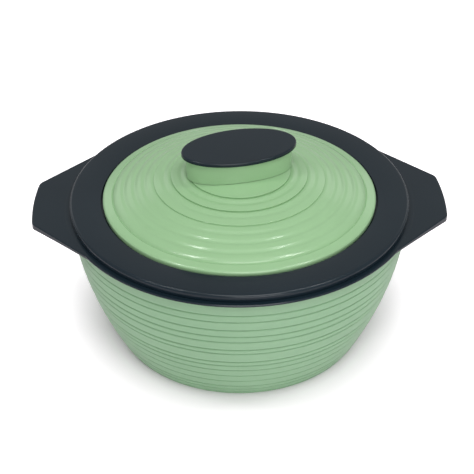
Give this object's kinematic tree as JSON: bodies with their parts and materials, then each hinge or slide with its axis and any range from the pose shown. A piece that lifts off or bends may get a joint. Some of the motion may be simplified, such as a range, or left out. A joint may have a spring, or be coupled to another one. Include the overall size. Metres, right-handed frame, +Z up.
{
  "type": "insulated chapati casserole",
  "caption": "Round foam-insulated bread casserole with a ribbed bowl, steel liner, wing handles and a lift-off domed lid with an oval knob.",
  "frame": {"origin": "middle of the foot ring, on the surface it stands on", "axes": "+Z up, +X towards a handle, the handles lie along X"},
  "size_m": [0.3118, 0.2638, 0.1566],
  "materials": {
    "green_body": "satin",
    "green_lid": "gloss",
    "dark_trim": "satin",
    "liner_steel": "satin",
    "foam": "matte",
    "seal_silicone": "matte",
    "plug_plastic": "matte",
    "screw_steel": "satin"
  },
  "bodies": {
    "base": {"outer_bowl": "green_body", "inner_bowl": "liner_steel", "handle_collar": "dark_trim", "bowl_insulation": "foam", "base_filling_plug": "plug_plastic"},
    "seal": {"lid_seal": "seal_silicone"},
    "lid": {"lid_ring": "dark_trim", "lid_dome": "green_lid", "lid_liner": "liner_steel", "lid_insulation": "foam", "lid_filling_plug": "plug_plastic", "knob_stem": "green_lid", "knob_cap": "dark_trim", "knob_screws": "screw_steel"}
  },
  "joints": [
    {"name": "lid_lift", "type": "slide", "parent": "base", "child": "seal", "axis": [0, 0, 1], "range_m": [0, 0.15]},
    {"name": "lid_turn", "type": "hinge", "parent": "seal", "child": "lid", "pos_m": [0, 0, 0.1104], "axis": [0, 0, 1], "continuous": true}
  ]
}
